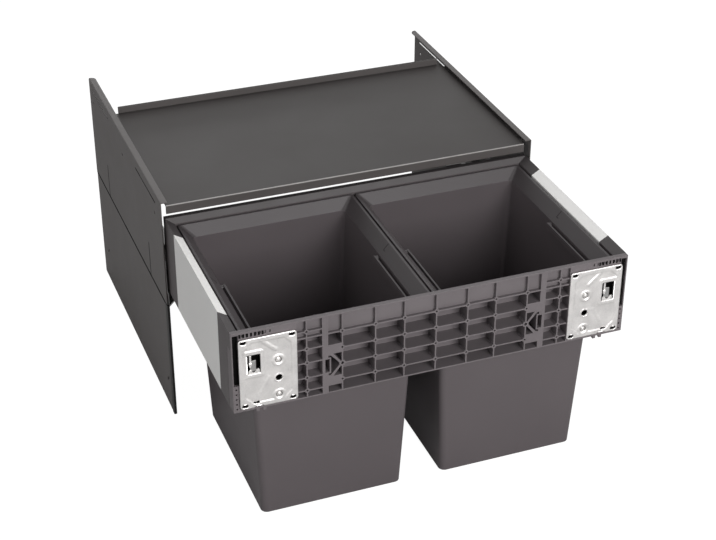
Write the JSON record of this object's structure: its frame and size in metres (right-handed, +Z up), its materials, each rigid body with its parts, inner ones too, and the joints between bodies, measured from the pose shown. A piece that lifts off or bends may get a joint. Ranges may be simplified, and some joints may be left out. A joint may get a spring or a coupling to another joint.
{
  "type": "pull out trash cabinet",
  "caption": "Pull-out waste unit for a base cabinet: steel side panels, a shelf, a drawer frame on runners and two dark bins with bail handles.",
  "frame": {"origin": "middle of the unit at the front and bottom edges of its side panels, where it sits in the cabinet opening", "axes": "+X to the right seen from the front, +Y into the cabinet, +Z up. Drawn with the drawer pulled out and both bins hanging in it."},
  "size_m": [0.562, 0.756, 0.3585],
  "materials": {
    "steel_grey": "fine textured anthracite powder coat",
    "zinc": "bright zinc plated steel",
    "runner_steel": "galvanised steel",
    "side_white": "smooth light powder coat",
    "frame_plastic": "dark grey moulded plastic",
    "bin_plastic": "dark grey moulded plastic with a light sheen",
    "black_plastic": "black moulded plastic",
    "nylon": "white nylon"
  },
  "bodies": {
    "cabinet": {"side_panel_left": "steel_grey", "side_panel_right": "steel_grey", "lower_panel_left": "steel_grey", "lower_panel_right": "steel_grey", "levellers_left": "black_plastic", "levellers_right": "black_plastic", "edge_trim_left": "black_plastic", "edge_trim_right": "black_plastic", "shelf_bracket_left": "steel_grey", "shelf_bracket_right": "steel_grey", "cabinet_profile_left": "runner_steel", "cabinet_profile_right": "runner_steel", "runner_rivets_left": "runner_steel", "runner_rivets_right": "runner_steel", "soft_close_left": "black_plastic", "soft_close_right": "black_plastic", "top_shelf": "steel_grey"},
    "runner_left": {"middle_profile_left": "runner_steel", "runner_glides_left": "nylon"},
    "runner_right": {"middle_profile_right": "runner_steel", "runner_glides_right": "nylon"},
    "drawer": {"drawer_profile_left": "runner_steel", "drawer_profile_right": "runner_steel", "drawer_side_left": "side_white", "drawer_side_right": "side_white", "front_cap_left": "frame_plastic", "front_cap_right": "frame_plastic", "rear_cap_left": "frame_plastic", "rear_cap_right": "frame_plastic", "front_plate_left": "zinc", "front_plate_right": "zinc", "plate_adjusters_left": "zinc", "plate_adjusters_right": "zinc", "plate_latch_left": "zinc", "plate_latch_right": "zinc", "rear_rail": "frame_plastic", "front_carrier": "frame_plastic"},
    "bin_left": {"bin_shell_left": "bin_plastic"},
    "bin_right": {"bin_shell_right": "bin_plastic"},
    "handle_left": {"bail_handle_left": "bin_plastic"},
    "handle_right": {"bail_handle_right": "bin_plastic"}
  },
  "joints": [
    {"name": "drawer_slide", "type": "slide", "parent": "cabinet", "child": "drawer", "axis": [0, -1, 0], "range_m": [-0.308, 0]},
    {"name": "runner_slide_left", "type": "slide", "parent": "cabinet", "child": "runner_left", "axis": [0, -1, 0], "range_m": [-0.154, 0]},
    {"name": "bin_lift_left", "type": "slide", "parent": "drawer", "child": "bin_left", "axis": [0, 0, 1], "range_m": [0, 0.35]},
    {"name": "handle_swing_left", "type": "hinge", "parent": "bin_left", "child": "handle_left", "pos_m": [-0.1305, -0.15, 0.2975], "axis": [-1, 0, 0], "range_deg": [0, 90]},
    {"name": "runner_slide_right", "type": "slide", "parent": "cabinet", "child": "runner_right", "axis": [0, -1, 0], "range_m": [-0.154, 0]},
    {"name": "bin_lift_right", "type": "slide", "parent": "drawer", "child": "bin_right", "axis": [0, 0, 1], "range_m": [0, 0.35]},
    {"name": "handle_swing_right", "type": "hinge", "parent": "bin_right", "child": "handle_right", "pos_m": [0.1305, -0.15, 0.2975], "axis": [-1, 0, 0], "range_deg": [0, 90]}
  ],
  "couplings": [
    {"joint": "runner_slide_left", "follows": "drawer_slide", "ratio": 0.5},
    {"joint": "runner_slide_right", "follows": "drawer_slide", "ratio": 0.5}
  ]
}
